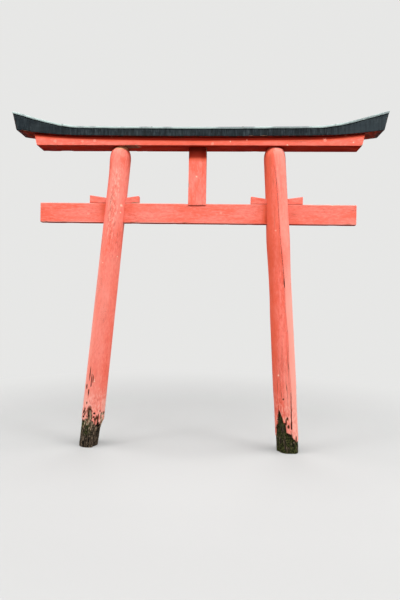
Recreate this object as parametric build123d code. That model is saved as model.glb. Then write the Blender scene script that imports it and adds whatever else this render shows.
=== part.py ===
from build123d import *
import math
import os

# A two-pillar shrine gate in painted timber, seen from the front along +Y.
# The origin is the centre of the left pillar's foot, X runs to the right pillar and Z is up.
# All lengths are millimetres and all angles are degrees.

# Pillars: round tapered logs that lean towards each other, the left one more than the right
FOOT_SPACING = 2136
FOOT_DIAMETER = 244
HEAD_DIAMETER = 220
LEFT_LEAN = 5.15
RIGHT_LEAN = 3.65

# The rounded crown of each pillar, under the lower lintel
CROWN_HEIGHT = 165
CROWN_DIAMETER = 132
CROWN_BEND_LENGTH = 90

# Tie beam: one plank that runs through both pillars
TIE_UNDERSIDE = 2416
TIE_HEIGHT = 212
TIE_THICKNESS = 75
TIE_LENGTH = 3396

# Wedges that lock the tie beam, and how far each stands out of its pillar
WEDGE_THICKNESS = 70
WEDGE_HEIGHT_AT_PILLAR = 60
WEDGE_SLOPE = 8.5
WEDGE_TIP_GAP = 12
LEFT_OUTER_WEDGE_LENGTH = 170
LEFT_INNER_WEDGE_LENGTH = 142
RIGHT_INNER_WEDGE_LENGTH = 160
RIGHT_OUTER_WEDGE_LENGTH = 166

# Centre strut: a short post that straddles the tie beam, a little right of the middle
STRUT_WIDTH = 191
STRUT_THICKNESS = 92
STRUT_LAP = 20
STRUT_OFFSET = 9

# Lower lintel: flat underneath, its top follows the upper lintel's underside
LOWER_UNDERSIDE = 3230
LOWER_HEIGHT = 93
LOWER_WIDTH = 202
LOWER_LENGTH = 3450

# Upper lintel: deeper towards its upturned ends, with a top pitched to front and back
UPPER_HEIGHT = 97
UPPER_WIDTH = 238
UPPER_LENGTH = 3985
UPPER_PITCH_RISE = 26

# Slant of the lintels' ends, which are longer at the top
END_SLANT = 13.5

# The long curves of the upper lintel: nearly straight in the middle, then turned up at the ends,
# where the top climbs more steeply than the underside
MIDDLE_HALF_LENGTH = 1220
MIDDLE_RISE = 7
TOP_END_RISE = 165
TOP_END_CLIMB = 13
UNDERSIDE_END_RISE = 66
UNDERSIDE_END_CLIMB = 8
MIDDLE_BEND_LENGTH = 300
END_BEND_LENGTH = 205

# Sheet metal capping in lengths, with an edge that flares over the upper lintel's sides
CAP_THICKNESS = 2
CAP_EDGE_DROP = 24
CAP_EDGE_FLARE = 8
CAP_END_LENGTH = 550
CAP_MIDDLE_COUNT = 3
CAP_JOINT_GAP = 1

# Tenons on the heads of the pillars and of the strut
PILLAR_TENON_WIDTH = 60
PILLAR_TENON_HEIGHT = 55
STRUT_TENON_WIDTH = 90
STRUT_TENON_THICKNESS = 36
STRUT_TENON_HEIGHT = 45

# Clearances of the joinery
SIDE_FIT = 0.3
TENON_END_GAP = 3
CAP_FIT = 0.8

# Eased edges of the sawn timbers
ARRIS_WIDTH = 3

# Decay at the ground: a worn skin round both feet, more timber wasted from the left foot's right
# side and a deeper notch in the right foot's front.
# Each outline goes from left to right as shares of the foot's radius and of its own height.
WORN_SKIN_DEPTH = 5
WORN_OUTLINE = [
    (-1.2, 0.90), (-0.80, 0.88), (-0.50, 0.93), (-0.20, 0.90), (0.10, 0.95), (0.28, 0.92),
    (0.50, 0.78), (0.66, 0.86), (0.78, 0.79), (0.92, 0.86), (1.2, 0.95),
]
LEFT_WORN_HEIGHT = 320
RIGHT_WORN_HEIGHT = 190
WASTED_HEIGHT = 300
WASTED_OUTLINE = [(0.50, 0.0), (0.48, 0.62), (0.62, 0.88), (1.2, 1.00)]
NOTCH_DEPTH = 24
NOTCH_HEIGHT = 465
NOTCH_OUTLINE = [
    (-1.2, 0.48), (-0.96, 0.56), (-0.89, 0.65), (-0.83, 0.78), (-0.70, 1.00), (-0.52, 0.89),
    (-0.45, 0.72), (-0.15, 0.66), (-0.10, 0.55), (0.08, 0.50), (0.38, 0.35), (0.61, 0.28),
    (0.99, 0.21), (1.2, 0.19),
]

# How deep the wasted side is at each height, as shares of the foot's radius and of its height
WASTED_PROFILE = [(0.28, 0.0), (0.22, 0.62), (0.0, 1.0)]

# A rotted slot in the front of the left foot, which runs down into the worn skin
SLOT_HEIGHT_FROM_GROUND = 360
SLOT_ACROSS = -4
SLOT_WIDTH = 44
SLOT_LENGTH = 150
SLOT_DEPTH = 22

# The long drying check in the front of the right pillar, from top to bottom.
# Its line is given as shares of the foot's radius and of the pillar's height.
CHECK_WIDTH = 5
CHECK_DEPTH = 25
CHECK_LINE = [
    (-0.10, 0.955), (0.03, 0.86), (0.09, 0.70), (0.28, 0.55), (0.26, 0.48), (0.37, 0.36),
    (0.345, 0.29), (0.41, 0.23), (0.31, 0.08),
]

# How far a cutting shape runs past what it cuts
OVERRUN = 60


def drift(distance, angle):
    """How far a line at `angle` has strayed sideways after `distance`."""
    return distance * math.tan(math.radians(angle))


def left_axis_x(z):
    return drift(z, LEFT_LEAN)


def right_axis_x(z):
    return FOOT_SPACING - drift(z, RIGHT_LEAN)


def pillar_radius(height):
    taper = (FOOT_DIAMETER - HEAD_DIAMETER) / 2 / LOWER_UNDERSIDE
    return FOOT_DIAMETER / 2 - taper * height


MIDDLE_X = (left_axis_x(LOWER_UNDERSIDE) + right_axis_x(LOWER_UNDERSIDE)) / 2
STRUT_X = MIDDLE_X + STRUT_OFFSET
TIE_TOP = TIE_UNDERSIDE + TIE_HEIGHT
LOWER_TOP = LOWER_UNDERSIDE + LOWER_HEIGHT
UPPER_TOP = LOWER_TOP + UPPER_HEIGHT
TOP_HALF_LENGTH = UPPER_LENGTH / 2
RUN_ON_HALF_LENGTH = TOP_HALF_LENGTH + OVERRUN
END_DEPTH = UPPER_HEIGHT + TOP_END_RISE - UNDERSIDE_END_RISE
UNDERSIDE_HALF_LENGTH = TOP_HALF_LENGTH - drift(END_DEPTH, END_SLANT)
CAP_HALF_WIDTH = UPPER_WIDTH / 2 + CAP_FIT


def front_face(edges):
    """A face drawn in the front view, with X across and Z up, standing at Y = 0."""
    return Plane.XZ * make_face(Curve() + edges)


def front_prism(edges, depth):
    """A front view outline made `depth` deep, half of it on each side of Y = 0."""
    return extrude(front_face(edges), amount=depth / 2, both=True)


def polygon(*points):
    return [Polyline(*points, close=True)]


def upright_box(centre_x, base_z, width, thickness, height):
    return Pos(centre_x, 0, base_z + height / 2) * Box(width, thickness, height)


def upright_log():
    """A tapered log with a rounded crown, upright, with its axis through the origin."""
    top = LOWER_UNDERSIDE
    shoulder = top - CROWN_HEIGHT
    bend = shoulder + CROWN_BEND_LENGTH
    foot = (pillar_radius(-OVERRUN), -OVERRUN)
    side = (pillar_radius(shoulder), shoulder)
    crown = (CROWN_DIAMETER / 2, top)
    stub = (CROWN_DIAMETER / 2, top + OVERRUN)
    profile = [
        Polyline((0, -OVERRUN), foot, side),
        Bezier(side, (pillar_radius(bend), bend), (crown[0] + CROWN_BEND_LENGTH / 4, top), crown),
        Polyline(crown, stub, (0, stub[1]), (0, -OVERRUN)),
    ]
    return revolve(front_face(profile), axis=Axis.Z)


def sound_core(depth):
    """The log's timber that is more than `depth` under its surface."""
    base_radius = pillar_radius(-OVERRUN) - depth
    top_radius = HEAD_DIAMETER / 2 - depth
    height = LOWER_UNDERSIDE + OVERRUN
    return Pos(0, 0, height / 2 - OVERRUN) * Cone(base_radius, top_radius, height)


def wasted_core():
    """What the wasting leaves of the left foot: thinner and thinner towards the ground."""
    radius = FOOT_DIAMETER / 2
    edge = [(radius * (1 - depth), WASTED_HEIGHT * up) for depth, up in WASTED_PROFILE]
    below = (edge[0][0], -OVERRUN)
    return revolve(
        front_face(polygon((0, -OVERRUN), below, *edge, (0, WASTED_HEIGHT))), axis=Axis.Z
    )


def ragged_region(outline, height):
    """The front view region under a ragged line, down past the ground."""
    radius = FOOT_DIAMETER / 2
    edge = [(across * radius, up * height) for across, up in outline]
    return polygon(*edge, (edge[-1][0], -OVERRUN), (edge[0][0], -OVERRUN))


def front_cutter(face, core):
    """What a front view face takes off the front of the upright log, down to its `core`."""
    return extrude(face, amount=FOOT_DIAMETER) - core


def all_round_cutter(edges, core):
    return front_prism(edges, 2 * FOOT_DIAMETER) - core


def slot_cutter():
    slot = Pos(SLOT_ACROSS, SLOT_HEIGHT_FROM_GROUND) * Ellipse(SLOT_WIDTH / 2, SLOT_LENGTH / 2)
    return front_cutter(Plane.XZ * slot, sound_core(SLOT_DEPTH))


def check_cutter():
    """A long narrow cleft that follows the grain and closes at both ends."""
    radius = FOOT_DIAMETER / 2
    first, *middle, last = [(across * radius, up * LOWER_UNDERSIDE) for across, up in CHECK_LINE]
    sides = []
    for offset in (-CHECK_WIDTH / 2, CHECK_WIDTH / 2):
        sides.append(Spline(first, *[(x + offset, z) for x, z in middle], last))
    return front_cutter(front_face(sides), sound_core(CHECK_DEPTH))


def left_log():
    worn_edges = ragged_region(WORN_OUTLINE, LEFT_WORN_HEIGHT)
    wasted_edges = ragged_region(WASTED_OUTLINE, WASTED_HEIGHT)
    log = upright_log()
    log -= all_round_cutter(worn_edges, sound_core(WORN_SKIN_DEPTH))
    log -= all_round_cutter(wasted_edges, wasted_core())
    return log - slot_cutter()


def right_log():
    worn_edges = ragged_region(WORN_OUTLINE, RIGHT_WORN_HEIGHT)
    notch_edges = ragged_region(NOTCH_OUTLINE, NOTCH_HEIGHT)
    log = upright_log()
    log -= all_round_cutter(worn_edges, sound_core(WORN_SKIN_DEPTH))
    log -= front_cutter(front_face(notch_edges), sound_core(NOTCH_DEPTH))
    return log - check_cutter()


def tie_mortise(axis_x):
    """The through mortise of a pillar: the tie beam's slot with a roof that falls to the axis."""
    reach = pillar_radius(TIE_TOP)
    outer = reach + OVERRUN
    outer_top = TIE_TOP + WEDGE_HEIGHT_AT_PILLAR + drift(OVERRUN, WEDGE_SLOPE)
    axis_top = TIE_TOP + WEDGE_HEIGHT_AT_PILLAR - drift(reach, WEDGE_SLOPE)
    outline = polygon(
        (axis_x - outer, TIE_UNDERSIDE),
        (axis_x + outer, TIE_UNDERSIDE),
        (axis_x + outer, outer_top),
        (axis_x, axis_top),
        (axis_x - outer, outer_top),
    )
    return front_prism(outline, TIE_THICKNESS + 2 * SIDE_FIT)


def pillar(log, foot_x, lean, axis_x_at):
    """A log set up at its lean, cut level at both ends, mortised and tenoned."""
    leaning = Pos(foot_x, 0, 0) * Rot(0, lean, 0) * log
    shaft = leaning & upright_box(foot_x, 0, FOOT_SPACING, FOOT_SPACING, LOWER_UNDERSIDE)
    shaft -= tie_mortise(axis_x_at(TIE_TOP))
    return shaft + upright_box(
        axis_x_at(LOWER_UNDERSIDE),
        LOWER_UNDERSIDE,
        PILLAR_TENON_WIDTH,
        PILLAR_TENON_WIDTH,
        PILLAR_TENON_HEIGHT,
    )


def tie_beam():
    beam = upright_box(MIDDLE_X, TIE_UNDERSIDE, TIE_LENGTH, TIE_THICKNESS, TIE_HEIGHT)
    return chamfer(beam.edges(), ARRIS_WIDTH)


def wedge(axis_x, side, length):
    """One wedge on top of the tie beam: `side` is -1 left of the pillar's axis, 1 right of it."""
    reach = pillar_radius(TIE_TOP)
    outer_x = axis_x + side * (reach + length)
    inner_x = axis_x + side * WEDGE_TIP_GAP
    outer_top = TIE_TOP + WEDGE_HEIGHT_AT_PILLAR + drift(length, WEDGE_SLOPE)
    inner_top = TIE_TOP + WEDGE_HEIGHT_AT_PILLAR - drift(reach - WEDGE_TIP_GAP, WEDGE_SLOPE)
    outline = polygon(
        (outer_x, TIE_TOP), (inner_x, TIE_TOP), (inner_x, inner_top), (outer_x, outer_top)
    )
    return front_prism(outline, WEDGE_THICKNESS)


def centre_strut():
    base = TIE_TOP - STRUT_LAP
    post = upright_box(STRUT_X, base, STRUT_WIDTH, STRUT_THICKNESS, LOWER_UNDERSIDE - base)
    post = chamfer(post.edges().filter_by(Axis.Z), ARRIS_WIDTH)
    slot_width = TIE_THICKNESS + 2 * SIDE_FIT
    post -= upright_box(STRUT_X, base, STRUT_WIDTH + OVERRUN, slot_width, STRUT_LAP)
    return post + upright_box(
        STRUT_X, LOWER_UNDERSIDE, STRUT_TENON_WIDTH, STRUT_TENON_THICKNESS, STRUT_TENON_HEIGHT
    )


def run_on_level(end_level, end_climb, half_length):
    """The height that a long curve reaches when it is run on past its end."""
    return end_level + drift(RUN_ON_HALF_LENGTH - half_length, end_climb)


def lintel_curve(level, end_rise, end_climb, half_length):
    """A long curve from left to right, run on straight past its ends.

    `level` is its height at mid length, `end_rise` is how far its ends turn up and `end_climb` is
    the angle at which they still climb."""
    bend_level = level + MIDDLE_RISE
    end_level = level + end_rise
    middle_slope = 2 * MIDDLE_RISE / MIDDLE_HALF_LENGTH
    edges = [
        ThreePointArc(
            (MIDDLE_X - MIDDLE_HALF_LENGTH, bend_level),
            (MIDDLE_X, level),
            (MIDDLE_X + MIDDLE_HALF_LENGTH, bend_level),
        )
    ]
    for side in (-1, 1):
        bend_x = MIDDLE_X + side * MIDDLE_HALF_LENGTH
        end_x = MIDDLE_X + side * half_length
        edges.append(
            Bezier(
                (bend_x, bend_level),
                (bend_x + side * MIDDLE_BEND_LENGTH, bend_level + middle_slope * MIDDLE_BEND_LENGTH),
                (end_x - side * END_BEND_LENGTH, end_level - drift(END_BEND_LENGTH, end_climb)),
                (end_x, end_level),
            )
        )
        run_on_x = MIDDLE_X + side * RUN_ON_HALF_LENGTH
        run_on_z = run_on_level(end_level, end_climb, half_length)
        edges.append(Line((end_x, end_level), (run_on_x, run_on_z)))
    return edges


def top_curve(lift=0):
    return lintel_curve(UPPER_TOP + lift, TOP_END_RISE, TOP_END_CLIMB, TOP_HALF_LENGTH)


def top_run_on_level():
    return run_on_level(UPPER_TOP + TOP_END_RISE, TOP_END_CLIMB, TOP_HALF_LENGTH)


def underside_curve():
    half_length = UNDERSIDE_HALF_LENGTH
    return lintel_curve(LOWER_TOP, UNDERSIDE_END_RISE, UNDERSIDE_END_CLIMB, half_length)


def underside_run_on_level():
    return run_on_level(LOWER_TOP + UNDERSIDE_END_RISE, UNDERSIDE_END_CLIMB, UNDERSIDE_HALF_LENGTH)


def run_on_ends(low, high):
    """The upright lines that close a region between two long curves."""
    left = MIDDLE_X - RUN_ON_HALF_LENGTH
    right = MIDDLE_X + RUN_ON_HALF_LENGTH
    return [Line((left, low), (left, high)), Line((right, low), (right, high))]


def top_band(low_lift, high_lift):
    """The front view strip between two copies of the top curve at different heights."""
    level = top_run_on_level()
    ends = run_on_ends(level + low_lift, level + high_lift)
    return front_face(top_curve(low_lift) + top_curve(high_lift) + ends)


def carried(face, side, across, fall):
    """Carries a front view face to the front or back and down at the same time."""
    return extrude(face, amount=math.hypot(across, fall), dir=(0, side * across, -fall))


def between_slanted_ends(level, half_length):
    """All that lies between two slanted planes, which are `half_length` off at `level`."""
    low = LOWER_UNDERSIDE - OVERRUN
    high = UPPER_TOP + TOP_END_RISE + UPPER_PITCH_RISE + OVERRUN
    low_half = half_length - drift(level - low, END_SLANT)
    high_half = half_length + drift(high - level, END_SLANT)
    outline = polygon(
        (MIDDLE_X - low_half, low),
        (MIDDLE_X + low_half, low),
        (MIDDLE_X + high_half, high),
        (MIDDLE_X - high_half, high),
    )
    return front_prism(outline, 2 * UPPER_WIDTH)


def lower_lintel():
    """A beam with slanted ends, trimmed to the curve that the upper lintel lies on."""
    left = MIDDLE_X - RUN_ON_HALF_LENGTH
    right = MIDDLE_X + RUN_ON_HALF_LENGTH
    end_level = underside_run_on_level()
    sides = Polyline(
        (left, end_level), (left, LOWER_UNDERSIDE), (right, LOWER_UNDERSIDE), (right, end_level)
    )
    beam = front_prism(underside_curve() + [sides], LOWER_WIDTH)
    beam &= between_slanted_ends(LOWER_UNDERSIDE, LOWER_LENGTH / 2)
    beam = chamfer(beam.faces().sort_by(Axis.Z)[0].edges(), ARRIS_WIDTH)
    for axis_x_at in (left_axis_x, right_axis_x):
        beam -= upright_box(
            axis_x_at(LOWER_UNDERSIDE),
            LOWER_UNDERSIDE,
            PILLAR_TENON_WIDTH + 2 * SIDE_FIT,
            PILLAR_TENON_WIDTH + 2 * SIDE_FIT,
            PILLAR_TENON_HEIGHT + TENON_END_GAP,
        )
    return beam - upright_box(
        STRUT_X,
        LOWER_UNDERSIDE,
        STRUT_TENON_WIDTH + 2 * SIDE_FIT,
        STRUT_TENON_THICKNESS + 2 * SIDE_FIT,
        STRUT_TENON_HEIGHT + TENON_END_GAP,
    )


def upper_lintel():
    """The curved beam with its two top slopes, which meet in a ridge along the middle."""
    ends = run_on_ends(underside_run_on_level(), top_run_on_level())
    beam = front_prism(underside_curve() + top_curve() + ends, UPPER_WIDTH)
    for side in (-1, 1):
        beam += carried(top_band(0, UPPER_PITCH_RISE), side, UPPER_WIDTH / 2, UPPER_PITCH_RISE)
    return beam & between_slanted_ends(UPPER_TOP + TOP_END_RISE, TOP_HALF_LENGTH)


def capping():
    """The whole folded sheet before it is parted into lengths."""
    ridge_lift = UPPER_PITCH_RISE + CAP_FIT
    fall = UPPER_PITCH_RISE * CAP_HALF_WIDTH / (UPPER_WIDTH / 2)
    edge_lift = ridge_lift - fall
    slope = top_band(ridge_lift, ridge_lift + CAP_THICKNESS)
    edge_stretch = math.hypot(CAP_EDGE_FLARE, CAP_EDGE_DROP) / CAP_EDGE_FLARE
    edge = top_band(
        edge_lift + CAP_THICKNESS - CAP_THICKNESS * edge_stretch, edge_lift + CAP_THICKNESS
    )
    sheet = carried(slope, -1, CAP_HALF_WIDTH, fall) + carried(slope, 1, CAP_HALF_WIDTH, fall)
    for side in (-1, 1):
        sheet += Pos(0, side * CAP_HALF_WIDTH, 0) * carried(
            edge, side, CAP_EDGE_FLARE, CAP_EDGE_DROP
        )
    return sheet & between_slanted_ends(UPPER_TOP + TOP_END_RISE, TOP_HALF_LENGTH)


def cap_joints():
    """The X places where one length of capping ends and the next begins."""
    left = MIDDLE_X - TOP_HALF_LENGTH + CAP_END_LENGTH
    right = MIDDLE_X + TOP_HALF_LENGTH - CAP_END_LENGTH
    step = (right - left) / CAP_MIDDLE_COUNT
    return [left + step * index for index in range(CAP_MIDDLE_COUNT + 1)]


def cap_lengths():
    """The capping parted at its joints, from left to right."""
    bounds = [MIDDLE_X - RUN_ON_HALF_LENGTH] + cap_joints() + [MIDDLE_X + RUN_ON_HALF_LENGTH]
    whole = capping()
    lengths = {}
    for index in range(len(bounds) - 1):
        start = bounds[index] + CAP_JOINT_GAP / 2
        end = bounds[index + 1] - CAP_JOINT_GAP / 2
        middle = (start + end) / 2
        window = upright_box(middle, LOWER_TOP, end - start, 2 * UPPER_WIDTH, UPPER_TOP)
        lengths[f"cap_length_{index + 1}"] = whole & window
    return lengths


def wedges():
    left_x = left_axis_x(TIE_TOP)
    right_x = right_axis_x(TIE_TOP)
    return {
        "left_outer_wedge": wedge(left_x, -1, LEFT_OUTER_WEDGE_LENGTH),
        "left_inner_wedge": wedge(left_x, 1, LEFT_INNER_WEDGE_LENGTH),
        "right_inner_wedge": wedge(right_x, -1, RIGHT_INNER_WEDGE_LENGTH),
        "right_outer_wedge": wedge(right_x, 1, RIGHT_OUTER_WEDGE_LENGTH),
    }


def main():
    parts = {
        "left_pillar": pillar(left_log(), 0, LEFT_LEAN, left_axis_x),
        "right_pillar": pillar(right_log(), FOOT_SPACING, -RIGHT_LEAN, right_axis_x),
        "tie_beam": tie_beam(),
        "centre_strut": centre_strut(),
        "lower_lintel": lower_lintel(),
        "upper_lintel": upper_lintel(),
    }
    parts.update(wedges())
    parts.update(cap_lengths())
    os.makedirs("parts", exist_ok=True)
    for name, shape in parts.items():
        export_step(shape, f"parts/{name}.step")


main()
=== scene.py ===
import math

import bpy
import numpy as np
from mathutils import Matrix, Vector


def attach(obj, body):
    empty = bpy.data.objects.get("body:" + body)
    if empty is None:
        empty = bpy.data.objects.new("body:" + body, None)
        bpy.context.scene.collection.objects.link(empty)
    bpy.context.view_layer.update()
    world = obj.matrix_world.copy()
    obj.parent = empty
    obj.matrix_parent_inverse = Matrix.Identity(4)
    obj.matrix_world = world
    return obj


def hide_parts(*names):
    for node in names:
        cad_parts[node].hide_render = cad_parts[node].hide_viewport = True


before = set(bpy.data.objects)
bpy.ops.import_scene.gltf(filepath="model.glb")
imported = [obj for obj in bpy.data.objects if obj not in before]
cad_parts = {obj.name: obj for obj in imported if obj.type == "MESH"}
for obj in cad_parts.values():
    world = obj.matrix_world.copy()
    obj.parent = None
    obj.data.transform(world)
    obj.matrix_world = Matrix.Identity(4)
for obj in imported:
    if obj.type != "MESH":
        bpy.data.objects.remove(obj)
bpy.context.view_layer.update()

# Sizes of the gate as in the part's source, in metres and radians
FOOT_SPACING = 2.136
FOOT_RADIUS = 0.122
HEAD_RADIUS = 0.110
LEFT_LEAN = math.radians(5.15)
RIGHT_LEAN = math.radians(3.65)
TIE_UNDERSIDE = 2.416
TIE_TOP = 2.628
TIE_THICKNESS = 0.075
TIE_LENGTH = 3.396
WEDGE_THICKNESS = 0.070
WEDGE_HEIGHT = 0.060
WEDGE_SLOPE = math.tan(math.radians(8.5))
WEDGE_TIP_GAP = 0.012
STRUT_WIDTH = 0.191
STRUT_THICKNESS = 0.092
STRUT_LAP = 0.020
LOWER_UNDERSIDE = 3.230
LOWER_TOP = 3.323
LOWER_WIDTH = 0.202
LOWER_LENGTH = 3.450
UPPER_TOP = 3.420
UPPER_WIDTH = 0.238
UPPER_LENGTH = 3.985
PITCH_RISE = 0.026
END_SLANT = math.tan(math.radians(13.5))
MIDDLE_HALF_LENGTH = 1.220
MIDDLE_RISE = 0.007
TOP_END_RISE = 0.165
TOP_END_CLIMB = math.tan(math.radians(13))
UNDERSIDE_END_RISE = 0.066
UNDERSIDE_END_CLIMB = math.tan(math.radians(8))
MIDDLE_BEND = 0.300
END_BEND = 0.205
CAP_EDGE_DROP = 0.024
CAP_EDGE_FLARE = 0.008
CAP_FIT = 0.0008
CAP_END_LENGTH = 0.550
CAP_JOINT_GAP = 0.001
SIDE_FIT = 0.0003

# The crowns, which round off in less height in the photo than in the part's source
CROWN_HEIGHT = 0.115
CROWN_RADIUS = 0.066
CROWN_BEND = 0.075

LEFT_TIE_X = TIE_TOP * math.tan(LEFT_LEAN)
RIGHT_TIE_X = FOOT_SPACING - TIE_TOP * math.tan(RIGHT_LEAN)
LEFT_HEAD_X = LOWER_UNDERSIDE * math.tan(LEFT_LEAN)
RIGHT_HEAD_X = FOOT_SPACING - LOWER_UNDERSIDE * math.tan(RIGHT_LEAN)
MIDDLE_X = (LEFT_HEAD_X + RIGHT_HEAD_X) / 2
STRUT_X = MIDDLE_X + 0.009
LEFT_END = MIDDLE_X - UPPER_LENGTH / 2
RIGHT_END = MIDDLE_X + UPPER_LENGTH / 2
END_LEVEL = UPPER_TOP + TOP_END_RISE
UNDERSIDE_HALF_LENGTH = UPPER_LENGTH / 2 - END_SLANT * (END_LEVEL - LOWER_TOP - UNDERSIDE_END_RISE)

# Decay at the feet, as shares of the foot's radius and of each height, and the right pillar's long
# check from its top, as shares of the foot's radius and of the pillar's height. The notch and the
# check follow the photo in more detail than the part's source does.
LEFT_WORN_HEIGHT = 0.320
RIGHT_WORN_HEIGHT = 0.190
WORN_OUTLINE = [
    (-1.2, 0.90), (-0.80, 0.88), (-0.50, 0.93), (-0.20, 0.90), (0.10, 0.95), (0.28, 0.92),
    (0.50, 0.78), (0.66, 0.86), (0.78, 0.79), (0.92, 0.86), (1.2, 0.95),
]
WASTED_HEIGHT = 0.300
WASTED_OUTLINE = [(0.50, 0.0), (0.48, 0.62), (0.62, 0.88), (1.2, 1.00)]
WASTED_PROFILE = [(0.28, 0.0), (0.22, 0.62), (0.0, 1.0)]
NOTCH_HEIGHT = 0.465
NOTCH_OUTLINE = [
    (-1.2, 0.48), (-0.96, 0.56), (-0.89, 0.65), (-0.83, 0.78), (-0.70, 1.00), (-0.52, 0.89),
    (-0.40, 0.80), (-0.37, 0.70), (-0.17, 0.65), (-0.12, 0.48), (0.15, 0.455), (0.33, 0.42),
    (0.38, 0.36), (0.60, 0.28), (0.99, 0.21), (1.2, 0.19),
]
CHECK_LINE = [
    (-0.10, 0.955), (0.03, 0.86), (0.09, 0.70), (0.28, 0.55), (0.26, 0.48), (0.37, 0.36),
    (0.345, 0.29), (0.41, 0.23), (0.335, 0.08),
]

# Small places at the feet that have lost their paint and a little timber: each one's place, half
# width, half height and how dark with rot it is. All have one half depth.
LOSS_HALF_DEPTH = 0.05
LEFT_LOSSES = [
    (-0.056, -0.106, 0.785, 0.0052, 0.065, 0.75), (-0.031, -0.116, 0.730, 0.0048, 0.060, 0.65),
    (-0.014, -0.118, 0.735, 0.0050, 0.040, 0.65), (-0.030, -0.115, 0.665, 0.0045, 0.020, 0.65),
    (-0.082, -0.087, 0.642, 0.008, 0.024, 0.80), (-0.051, -0.108, 0.588, 0.006, 0.030, 0.80),
    (-0.058, -0.105, 0.470, 0.007, 0.014, 0.80), (-0.077, -0.093, 0.390, 0.007, 0.026, 0.80),
    (0.037, -0.115, 0.371, 0.011, 0.010, 0.70), (0.036, -0.115, 0.332, 0.010, 0.009, 0.70),
    (0.050, -0.110, 0.308, 0.009, 0.014, 0.70), (0.077, -0.094, 0.324, 0.007, 0.040, 0.70),
]
RIGHT_LOSSES = [
    (0.000, -0.121, 0.373, 0.009, 0.014, 1.3), (0.007, -0.121, 0.290, 0.010, 0.017, 1.3),
    (-0.016, -0.119, 0.337, 0.007, 0.026, 1.3), (-0.033, -0.115, 0.576, 0.007, 0.010, 1.2),
    (-0.034, -0.115, 0.318, 0.022, 0.011, 1.3), (0.088, -0.080, 0.150, 0.008, 0.030, 0.9),
]

# Where the paint has small pale specks and broad faint ones: each one's place and radius
PALE_SPECKS = [
    (0.314, -0.079, 2.593, 0.013), (0.305, -0.081, 2.517, 0.009), (0.278, -0.066, 2.047, 0.008),
    (0.126, -0.102, 1.977, 0.007), (0.068, -0.119, 0.727, 0.008), (0.067, -0.119, 0.708, 0.008),
    (1.954, -0.108, 2.339, 0.010), (2.014, -0.097, 0.820, 0.011), (2.187, -0.049, 0.901, 0.008),
    (2.201, -0.059, 0.618, 0.007), (1.111, -0.046, 2.917, 0.009), (1.466, -0.101, 3.273, 0.007),
    (2.745, -0.101, 3.267, 0.0065), (1.639, -0.101, 3.290, 0.005), (2.063, -0.101, 3.238, 0.009),
]
PALE_PATCHES = [
    (-0.055, -0.038, 2.512, 0.016), (1.380, -0.038, 2.531, 0.016), (2.007, -0.038, 2.494, 0.013),
    (-0.415, -0.101, 3.275, 0.020), (-0.116, -0.101, 3.272, 0.015), (0.014, -0.101, 3.279, 0.015),
    (1.277, -0.101, 3.252, 0.016), (2.451, -0.101, 3.291, 0.018),
]

# How the meshes are divided, and how round the timbers' edges and ends are
LOG_COLUMNS = 188
FOOT_RING_STEP = 0.0042
LOG_RING_STEP = 0.0088
SECTION_STEP = 0.0065
CAP_SHEET_STEP = 0.013
CAP_RINGS = 14
EDGE_RADIUS = 0.005
END_ROUNDING = 0.004

# Studio: the floor and the backdrop as they look, and the lamps' turn round the gate and power
FLOOR_COLOUR = (0.35, 0.35, 0.346, 1)
FLOOR_BOUNCE = (0.15, 0.135, 0.12, 1)
FLOOR_REACH = 60
BACKDROP = (0.80, 0.80, 0.79, 1)
WORLD_COLOUR = (0.96, 0.98, 1.0, 1)
WORLD_LIGHT = 0.22
LAMP_AIM = 1.3
LAMP_RISE = math.radians(50)
LAMP_DISTANCE = 15.0
LAMP_SIZE = (10.0, 7.0)
SOFTBOXES = [(-80, 1600.0), (-40, 980.0), (0, 660.0), (40, 1000.0), (80, 2150.0), (180, 800.0)]

# The photo's camera. Its focal length is in pixels of a photo 600 pixels high.
CAMERA_PLACE = (1.400, -4.863, 1.589)
CAMERA_YAW = -0.0471
CAMERA_PITCH = 0.0015
CAMERA_ROLL = 0.0186
FOCAL_PIXELS = 451
PHOTO_HEIGHT_PIXELS = 600
SENSOR_MM = 36


# Repeatable noise and smooth steps for the shapes

def hashed(x, y, z, seed):
    """A repeatable value from -1 to 1 for each whole-number place."""
    mixed = (x * 73856093 ^ y * 19349663 ^ z * 83492791 ^ seed * 40503) & 0x7FFFFFFF
    mixed = ((mixed ^ (mixed >> 13)) * 1274126177) & 0x7FFFFFFF
    mixed = ((mixed ^ (mixed >> 15)) * 73244475) & 0x7FFFFFFF
    return (mixed ^ (mixed >> 16)) / 0x3FFFFFFF - 1.0


def noise(points, scale, seed):
    """Smooth noise from -1 to 1, with its own scale along each axis."""
    places = points * np.asarray(scale, float)
    base = np.floor(places)
    share = places - base
    share = share * share * (3 - 2 * share)
    base = base.astype(np.int64)
    total = 0
    for corner in range(8):
        step = (corner & 1, corner >> 1 & 1, corner >> 2 & 1)
        weight = 1
        for axis in range(3):
            weight = weight * (share[..., axis] if step[axis] else 1 - share[..., axis])
        total = total + weight * hashed(*[base[..., axis] + step[axis] for axis in range(3)], seed)
    return total


def fractal(points, scale, octaves, seed):
    total = 0
    for octave in range(octaves):
        total = total + noise(points, np.asarray(scale, float) * 2**octave, seed + octave) * 0.5**octave
    return total / 1.5


def ramp(value, low, high):
    """Goes smoothly from 0 at low to 1 at high, where low may also be the larger."""
    share = np.clip((value - low) / (high - low), 0, 1)
    return share * share * (3 - 2 * share)


def band(value, start, full, fading, end):
    """Rises smoothly from 0 at start to 1 at full, and falls from 1 at fading to 0 at end."""
    return ramp(value, start, full) * ramp(value, end, fading)


def near(points, place, size):
    """1 at a place, 0 at the edge of an ellipsoid round it, and negative outside."""
    return 1 - np.linalg.norm((points - np.array(place)) / np.array(size), axis=-1)


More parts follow.
